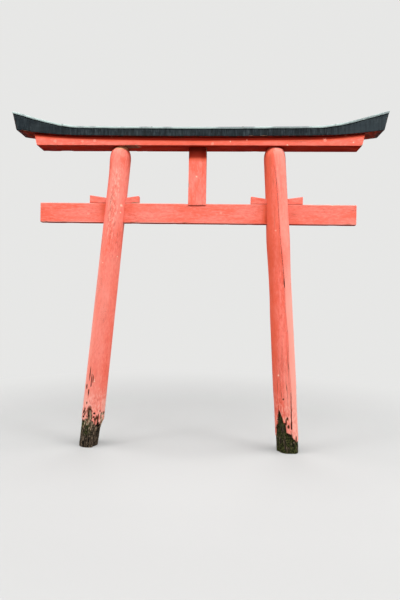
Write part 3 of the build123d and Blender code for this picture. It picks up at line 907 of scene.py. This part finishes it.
def section(width, height, spacing):
    """Round a box section, turning left about +X: places on the inner box, and directions."""
    corners = [(1, -1), (1, 1), (-1, 1), (-1, -1)]
    inner = []
    outward = []
    for index, corner in enumerate(corners):
        angles = np.radians(np.linspace(-90, 0, 5) + 90 * index)
        inner += [corner] * len(angles)
        outward += list(zip(np.cos(angles), np.sin(angles)))
        following = corners[(index + 1) % 4]
        length = height if corner[0] == following[0] else width
        count = max(2, round(length / spacing))
        inner += list(np.linspace(corner, following, count + 1)[1:-1])
        outward += [outward[-1]] * (count - 1)
    return np.array(inner), np.array(outward)


def stations(length, spacing):
    """Rows from end to end: place from -1 to 1, how much the edge is drawn in, and cap share."""
    steps = END_ROUNDING * np.array([0.0, 0.15, 0.45, 1.0, 2.0, 3.6])
    count = round((length - 2 * steps[-1]) / spacing)
    middle = np.linspace(steps[-1], length - steps[-1], count + 1)[1:-1]
    along = np.concatenate([steps, middle, length - steps[::-1]])
    into_rounding = np.maximum(0, END_ROUNDING - np.minimum(along, length - along))
    drawn = END_ROUNDING - np.sqrt(np.maximum(0, END_ROUNDING**2 - into_rounding**2))
    shares = np.linspace(0.04, 1, CAP_RINGS, endpoint=False)
    shrink = np.concatenate([shares, np.ones(len(along)), shares[::-1]])
    along = np.pad(along, CAP_RINGS, mode="edge")
    drawn = np.pad(drawn, CAP_RINGS, constant_values=END_ROUNDING)
    return along / length * 2 - 1, drawn, shrink


def timber_weathering(grain, share, shrink, arris, on_cap, from_end, seed, chips):
    """What every sawn timber has lost, with worn arrises and end checks, and its marks."""
    loss = 0.0006 * (1 + fractal(grain, (8, 8, 1.3), 2, seed))
    loss += 0.0003 * (1 + fractal(grain, (60, 60, 3), 2, seed + 3)) * (1 - on_cap)
    worn_edge = ramp(fractal(grain, (26, 26, 7), 3, seed + 5), 0.18, 0.62) * ramp(arris, 0.011, 0.0)
    loss += chips * worn_edge
    end_worn = ramp(from_end, 0.02, 0.0) * ramp(fractal(grain, (30, 30, 10), 2, seed + 8), -0.2, 0.6)
    loss += 0.0012 * end_worn * (1 - on_cap)
    columns = np.arange(grain.shape[1])
    for end in (-1, 1):
        picked = np.abs(hashed(columns, end, seed, 5)) > 0.955
        loss += 0.007 * (picked * (np.sign(share) == end) * on_cap) * ramp(shrink, 0.2, 0.95)
    return loss, {
        "grain": grain,
        "bare": worn_edge * 1.1 - 0.62,
        "bleach": 0.5 * fractal(grain, (6, 6, 1.0), 3, seed + 11),
        "grime": 0.35 * worn_edge + 0.25 * ramp(from_end, 0.03, 0.0),
        "margin": from_end,
    }


def timber(length, width, low, high, seed, middle=MIDDLE_X, spacing=0.012, slant=0.0, level=0.0,
           pitch=0.0, chips=0.004, turned=False, wear=None):
    """A weathered beam along X from its length, its width and its heights `low(x)` and `high(x)`.

    Its ends slant by `slant`, and `length` holds at the height `level`. `turned` stands it up."""
    nominal = high(np.array([middle]))[0] - low(np.array([middle]))[0]
    inner, outward = section(width, nominal, SECTION_STEP)
    share, drawn, shrink = stations(length, spacing)
    rows, columns = len(share), len(inner)
    share, drawn, shrink = share[:, None], drawn[:, None], shrink[:, None]
    radius = EDGE_RADIUS - drawn
    y = shrink * (inner[:, 0] * (width / 2 - EDGE_RADIUS) + outward[:, 0] * radius)
    x = middle + share * length / 2 + 0 * y
    for _ in range(3):
        bottom, top = low(x), high(x)
        half = (top - bottom) / 2
        up = shrink * (inner[:, 1] * (half - EDGE_RADIUS) + outward[:, 1] * radius)
        z = (top + bottom) / 2 + up
        z = z + pitch * (1 - np.abs(y) / (width / 2)) * ramp(up / half, 0.3, 1.0)
        x = middle + share * (length / 2 + (z - level) * slant)
    arris = (1 - np.abs(inner[:, 0])) * width / 2 + (1 - np.abs(inner[:, 1])) * half
    on_cap = (shrink < 1) + 0 * x
    arris = np.where(on_cap > 0, (1 - shrink) * np.minimum(width / 2, half), arris)
    points = np.stack([x, y, z], axis=-1)
    grain = points[..., [1, 2, 0]] + seed * 1.9
    from_end = (1 - np.abs(share)) * length / 2 + 0 * x
    loss, marks = timber_weathering(grain, share, shrink, arris, on_cap, from_end, seed, chips)
    normal = np.stack([
        np.sign(share) * on_cap, (1 - on_cap) * outward[:, 0], (1 - on_cap) * outward[:, 1]
    ], axis=-1)
    if wear:
        wear(points, marks)
    points = points - normal * loss[..., None]
    if turned:
        points = np.stack([points[..., 2], -points[..., 1], points[..., 0]], axis=-1)
    return closed_by_points(points, marks, rows, columns)


def make_timber(node, material=None, slot="vermilion_timber", cut=None, **sizes):
    points, faces, marks = timber(**sizes)
    piece = new_piece(node + "_timber", points, faces, marks, material or vermilion)
    if cut:
        cut_away(piece, *cut)
    settle(piece, node)


def flat(level):
    return lambda x: level + 0 * x


def long_curve(level, end_rise, end_climb, half_length):
    """The height of a lintel's long curve at any X, as sampled from its arc and its bends."""
    run_on = 0.1
    bend_level = level + MIDDLE_RISE
    end_level = level + end_rise
    radius = (MIDDLE_HALF_LENGTH**2 + MIDDLE_RISE**2) / (2 * MIDDLE_RISE)
    slope = 2 * MIDDLE_RISE / MIDDLE_HALF_LENGTH
    arc = np.linspace(0, MIDDLE_HALF_LENGTH, 60)
    bend = bezier([
        (MIDDLE_HALF_LENGTH, bend_level),
        (MIDDLE_HALF_LENGTH + MIDDLE_BEND, bend_level + slope * MIDDLE_BEND),
        (half_length - END_BEND, end_level - END_BEND * end_climb),
        (half_length, end_level),
    ], np.linspace(0, 1, 120)[1:])
    places = np.concatenate([arc, bend[:, 0], [half_length + run_on]])
    levels = np.concatenate([
        level + radius - np.sqrt(radius**2 - arc**2), bend[:, 1], [end_level + run_on * end_climb]
    ])
    return lambda x: np.interp(np.abs(x - MIDDLE_X), places, levels)


underside = long_curve(LOWER_TOP, UNDERSIDE_END_RISE, UNDERSIDE_END_CLIMB, UNDERSIDE_HALF_LENGTH)
top_line = long_curve(UPPER_TOP, TOP_END_RISE, TOP_END_CLIMB, UPPER_LENGTH / 2)


def wedge_top(axis_x, side):
    reach = pillar_radius(TIE_TOP)
    return lambda x: TIE_TOP + WEDGE_HEIGHT + (side * (x - axis_x) - reach) * WEDGE_SLOPE


def make_wedge(node, axis_x, side, length, seed):
    outer_x = axis_x + side * (pillar_radius(TIE_TOP) + length)
    inner_x = axis_x + side * WEDGE_TIP_GAP
    make_timber(
        node, middle=(outer_x + inner_x) / 2, length=abs(outer_x - inner_x), width=WEDGE_THICKNESS,
        low=flat(TIE_TOP), high=wedge_top(axis_x, side), seed=seed, spacing=0.007, chips=0.003,
    )


def lower_wear_and_shadow(points, marks):
    """Painted shadow in near-black red along the face's top under the upper lintel's overhang, a deeper
    red over the middle span, and a tan stain where the left pillar's head meets it.
    """
    x, z = points[..., 0], points[..., 2]
    stain = near(points, (0.385, -0.055, 3.232), (0.125, 0.055, 0.010))
    stain = stain + 0.35 * fractal(points, (40, 40, 40), 3, 71)
    marks["bare"] = np.maximum(marks["bare"], np.clip(stain - 0.15, -2, 0.05))
    marks["rot"] = 0.35 * ramp(stain, 0.0, 0.3)
    from_top = underside(x) - z
    inside = ramp(1.45 - np.abs(x - 1.25), 0.0, 0.35)
    # Painted shadow in near-black red along the face's top, under the upper lintel's overhang.
    marks["bleach"] -= 0.05 + 0.50 * inside + 2.1 * ramp(from_top, 0.062, 0.014)
    heads = ramp(np.abs(x - LEFT_HEAD_X), 0.17, 0.09) + ramp(np.abs(x - RIGHT_HEAD_X), 0.17, 0.09)
    marks["grime"] += 0.25 * heads * ramp(z, 3.25, 3.232)


def upper_wear_and_painted_light(points, marks):
    """Streaks over the middle of the face, paler paint at the right, and painted light just under the
    capping, where the drip edge shades the face.
    """
    x, z = points[..., 0], points[..., 2]
    marks["lines"] = 0.80 - 0.45 * ramp(np.abs(x - MIDDLE_X), 1.35, 1.65)
    marks["bare"] -= 0.08
    marks["rot"] = 0.30 + 0 * x
    # Painted light: lightens the face just under the capping, where its drip edge casts shade.
    painted_light_under_capping = 0.75 * ramp(top_line(x) - z, 0.042, 0.026)
    marks["flake"] = np.clip(painted_light_under_capping + 0.42 * ramp(x, 2.35, 2.8), 0, 1)


def strut_painted_shadow(points, marks):
    """Painted shadow: a deep, near-black red near the strut's top, where the lintels overhang it."""
    marks["bleach"] -= 1.9 * ramp(points[..., 0], 3.05, 3.14)


def tie_wear_and_shade(points, marks):
    """Dirt and a deeper red beside the pillars with painted shadow just left of each, and bleached edges.
    """
    x, z = points[..., 0], points[..., 2]
    for axis_x, left_shadow in ((0.228, 0.5), (1.977, 0.9)):
        beside = np.abs(x - axis_x) - 0.115
        marks["grime"] += 0.25 * ramp(np.abs(beside), 0.012, 0.0)
        marks["bleach"] -= 0.5 * ramp(beside, 0.22, 0.02)
        # Painted shadow on the beam just left of each pillar.
        marks["bleach"] -= left_shadow * ramp(beside, 0.06, 0.0) * (x < axis_x)
    edge = np.minimum(z - TIE_UNDERSIDE, TIE_TOP - z)
    marks["bleach"] += 0.7 * ramp(edge, 0.014, 0.006) - 0.2 * ramp(x, 1.8, 2.2)


# Capping

CAP_COUNT = 5
CAP_SHEET = 0.0016
CAP_HALF_WIDTH = UPPER_WIDTH / 2 + CAP_FIT
SLANTED_LENGTH = 0.4
SEAM_HEIGHT = 0.0035
SEAM_EDGES = np.array([0, 0.0015, 0.004, 0.007, 0.0085, 0.010, 0.0115])


def cap_section():
    """The folded sheet's section as a closed ring of (y, z) with hemmed drip edges, its outside first.

    It also gives the number of points on the outside and the height of the fold at the eave."""
    across = np.linspace(0, CAP_HALF_WIDTH, 26)[1:]
    rise = PITCH_RISE * (1 - across / (UPPER_WIDTH / 2)) + CAP_FIT
    eave = rise[-1]
    drop = CAP_EDGE_DROP - 0.0002
    outer = [(0.0, PITCH_RISE + CAP_FIT + CAP_SHEET), *zip(across, rise + CAP_SHEET)]
    for share in (0.12, 0.3, 0.5, 0.7, 0.85, 1.0):
        outer.append((CAP_HALF_WIDTH + CAP_EDGE_FLARE * share, eave + CAP_SHEET - drop * share))
    tip_y, tip_z = outer[-1]
    inner = [
        (tip_y - 0.0006, tip_z - 0.0008), (tip_y - 0.0030, tip_z - 0.0006),
        (tip_y - 0.0036, tip_z + 0.0030), (CAP_HALF_WIDTH + 0.0018, eave - 0.0085),
        (CAP_HALF_WIDTH + 0.0002, eave - 0.0040), *zip(across[::-1], rise[::-1]),
    ]
    outer, inner = np.array(outer), np.array(inner)
    ring = np.vstack([
        outer[::-1], outer[1:] * (-1, 1),
        inner * (-1, 1), [(0.0, PITCH_RISE + CAP_FIT)], inner[::-1],
    ])
    return ring, 2 * len(outer) - 1, eave + CAP_SHEET


def make_cap(index, start, end):
    """One length of folded sheet, with a low seam where it meets the next."""
    ring, outside_count, fold_level = cap_section()
    ring_y, ring_z = ring[:, 0], ring[:, 1]
    columns = len(ring)
    outside = np.arange(columns) < outside_count
    inset = SEAM_EDGES[-1]
    count = round((end - start) / CAP_SHEET_STEP)
    middle = np.linspace(start + inset, end - inset, count)[1:-1]
    along = np.concatenate([start + SEAM_EDGES, middle, end - SEAM_EDGES[::-1]])[:, None]
    x = along + 0 * ring_y
    slanted = (top_line(x) + ring_z - END_LEVEL) * END_SLANT
    x = x - slanted * ramp(x, LEFT_END + SLANTED_LENGTH, LEFT_END)
    x = x + slanted * ramp(x, RIGHT_END - SLANTED_LENGTH, RIGHT_END)
    y = ring_y + 0 * x
    z = top_line(x) + ring_z
    place = np.stack([x, y, z], axis=-1)
    edge = ramp(np.abs(y), CAP_HALF_WIDTH - 0.004, CAP_HALF_WIDTH + 0.006)
    dents = 0.0007 * (1 + fractal(place, (6, 9, 3), 3, 90 + index))
    sag = 0.0026 * (1 + noise(place * (1, 0, 0) + (0, 7, index), (9, 1, 1), 95)) * edge
    pull = 0.0012 * (1 + noise(place * (1, 0, 0) + (0, 3, index), (14, 1, 1), 97)) * edge
    seam = 0 * x
    for from_joint, joined in ((along - start, index > 1), (end - along, index < CAP_COUNT)):
        if joined:
            seam = np.maximum(seam, ramp(from_joint, inset, 0.007))
    z = z - dents * (1 - edge) * 0.5 + sag * 0.7 + SEAM_HEIGHT * seam * outside * (1 - edge)
    y = y - np.sign(y) * pull
    rows = len(along)
    faces = ring_faces(rows, columns)
    end_quads = [
        (step, step + 1, columns - 2 - step, columns - 1 - step) for step in range(columns // 2 - 1)
    ]
    last_ring = (rows - 1) * columns
    faces += [quad[::-1] for quad in end_quads]
    faces += [tuple(last_ring + corner for corner in quad) for quad in end_quads]
    drop = np.abs(ring_z - fold_level)
    fold = ramp(drop, 0.014, 0.009) * ramp(np.abs(ring_y), CAP_HALF_WIDTH - 0.010, CAP_HALF_WIDTH - 0.003)
    fold = fold * (1 - ramp(drop, 0.004, 0.008) * ramp(x, 2.60, 2.80))
    marks = {"seam": ramp(seam, 0.1, 0.9).ravel(), "fold": fold.ravel()}
    points = np.stack([x, y, z], axis=-1).reshape(-1, 3)
    piece = new_piece(f"cap_length_{index}_sheet", points, faces, marks, cap_metal)
    settle(piece, f"cap_length_{index}", 30)


def make_capping():
    """Two lengths of a fixed size at the ends, and equal ones between them."""
    bounds = np.linspace(LEFT_END + CAP_END_LENGTH, RIGHT_END - CAP_END_LENGTH, CAP_COUNT - 1)
    bounds = [LEFT_END, *bounds, RIGHT_END]
    for index in range(1, CAP_COUNT + 1):
        start = bounds[index - 1] + (CAP_JOINT_GAP / 2 if index > 1 else 0)
        end = bounds[index] - (CAP_JOINT_GAP / 2 if index < CAP_COUNT else 0)
        make_cap(index, start, end)


# The gate

vermilion = timber_material("vermilion_weathered", False)
blackened = timber_material("black_weathered", True)
cap_metal = sheet_material()

make_pillar(
    "left_pillar", foot_x=0.0, lean=LEFT_LEAN, seed=1.0, focus_line=flat(-0.27), focus=0.45,
    wear=left_wear_and_painted_light,
)
make_pillar(
    "right_pillar", foot_x=FOOT_SPACING, lean=-RIGHT_LEAN, seed=2.0, focus_line=check_angle,
    focus=0.84, wear=right_wear_and_painted_light,
)
make_timber(
    "tie_beam", length=TIE_LENGTH, width=TIE_THICKNESS, low=flat(TIE_UNDERSIDE),
    high=flat(TIE_TOP), seed=3, wear=tie_wear_and_shade,
)
make_wedge("left_outer_wedge", LEFT_TIE_X, side=-1, length=0.170, seed=41)
make_wedge("left_inner_wedge", LEFT_TIE_X, side=1, length=0.142, seed=42)
make_wedge("right_inner_wedge", RIGHT_TIE_X, side=-1, length=0.160, seed=43)
make_wedge("right_outer_wedge", RIGHT_TIE_X, side=1, length=0.166, seed=44)
strut_low = TIE_TOP - STRUT_LAP
strut_notch = [
    (STRUT_X - 0.2, strut_low - 0.01), (STRUT_X + 0.2, strut_low - 0.01),
    (STRUT_X + 0.2, TIE_TOP), (STRUT_X - 0.2, TIE_TOP),
]
make_timber(
    "centre_strut", cut=(strut_notch, TIE_THICKNESS / 2 + SIDE_FIT),
    middle=(strut_low + LOWER_UNDERSIDE) / 2, length=LOWER_UNDERSIDE - strut_low,
    width=STRUT_THICKNESS, low=flat(STRUT_X - STRUT_WIDTH / 2), high=flat(STRUT_X + STRUT_WIDTH / 2),
    seed=51, spacing=0.009, turned=True, wear=strut_painted_shadow, chips=0.003,
)
make_timber(
    "lower_lintel", length=LOWER_LENGTH, width=LOWER_WIDTH, low=flat(LOWER_UNDERSIDE),
    high=underside, seed=61, slant=END_SLANT, level=LOWER_UNDERSIDE, wear=lower_wear_and_shadow,
)
make_timber(
    "upper_lintel", blackened, "black_timber", length=UPPER_LENGTH, width=UPPER_WIDTH,
    low=underside, high=top_line, seed=81, slant=END_SLANT, level=END_LEVEL, pitch=PITCH_RISE,
    wear=upper_wear_and_painted_light,
)
make_capping()


# Floor, light and camera

def stage_floor():
    """A pale floor that the camera sees fade into the backdrop. It throws little light upwards."""
    s = Shader(bpy.data.materials.new("studio_floor"))
    path = s.node("LightPath", {})
    seen = s.most(path.outputs["Is Camera Ray"], path.outputs["Is Glossy Ray"])
    away = s.vector("DISTANCE", s.place(), (MIDDLE_X, 0, 0))
    pale = s.node("BsdfDiffuse", {"Color": FLOOR_COLOUR}).outputs[0]
    plain = s.node("BsdfDiffuse", {"Color": FLOOR_BOUNCE}).outputs[0]
    backdrop = s.node("Emission", {"Color": BACKDROP, "Strength": 1.0}).outputs[0]
    shown = s.node("MixShader", {0: s.fit(away, 2.0, 5.5), 1: pale, 2: backdrop}).outputs[0]
    mixed = s.node("MixShader", {0: seen, 1: plain, 2: shown}).outputs[0]
    s.node("OutputMaterial", {"Surface": mixed})
    corners = [(-1, -1, 0), (1, -1, 0), (1, 1, 0), (-1, 1, 0)]
    floor = new_piece("studio_floor", np.array(corners) * FLOOR_REACH, [(0, 1, 2, 3)], {}, s.owner)


def stage_world():
    """The camera sees the backdrop's colour, and the gate gets a faint even light."""
    world = bpy.data.worlds.new("studio")
    bpy.context.scene.world = world
    s = Shader(world)
    seen = s.node("LightPath", {}).outputs["Is Camera Ray"]
    light = s.node("Background", {"Color": WORLD_COLOUR, "Strength": WORLD_LIGHT}).outputs[0]
    shown = s.node("Background", {"Color": BACKDROP}).outputs[0]
    mixed = s.node("MixShader", {0: seen, 1: light, 2: shown}).outputs[0]
    s.node("OutputWorld", {"Surface": mixed})


def stage_lamps():
    """Softboxes high up round the gate, like an overcast sky over a clearing."""
    middle = Vector((MIDDLE_X, 0, LAMP_AIM))
    in_front = Vector((0, -math.cos(LAMP_RISE), math.sin(LAMP_RISE)))
    for turn, power in SOFTBOXES:
        lamp = bpy.data.lights.new("softbox", "AREA")
        lamp.shape = "RECTANGLE"
        lamp.size, lamp.size_y = LAMP_SIZE
        lamp.energy = power
        holder = new_object("softbox", lamp)
        away = Matrix.Rotation(math.radians(turn), 3, "Z") @ in_front
        holder.location = middle + away * LAMP_DISTANCE
        holder.rotation_mode = "QUATERNION"
        holder.rotation_quaternion = (-away).to_track_quat("-Z", "Y")


def photo_camera():
    """The camera as solved from the photo: turned about Z, tilted up from level, then rolled."""
    data = bpy.data.cameras.new("photo")
    data.sensor_width = SENSOR_MM
    data.lens = SENSOR_MM * FOCAL_PIXELS / PHOTO_HEIGHT_PIXELS
    data.clip_end = 200
    camera = new_object("photo", data)
    camera.matrix_world = (
        Matrix.Translation(CAMERA_PLACE)
        @ Matrix.Rotation(-CAMERA_YAW, 4, "Z")
        @ Matrix.Rotation(math.pi / 2 + CAMERA_PITCH, 4, "X")
        @ Matrix.Rotation(CAMERA_ROLL, 4, "Z")
    )
    bpy.context.scene.camera = camera


stage_floor()
stage_world()
stage_lamps()
photo_camera()
bpy.context.scene.view_settings.view_transform = "Standard"
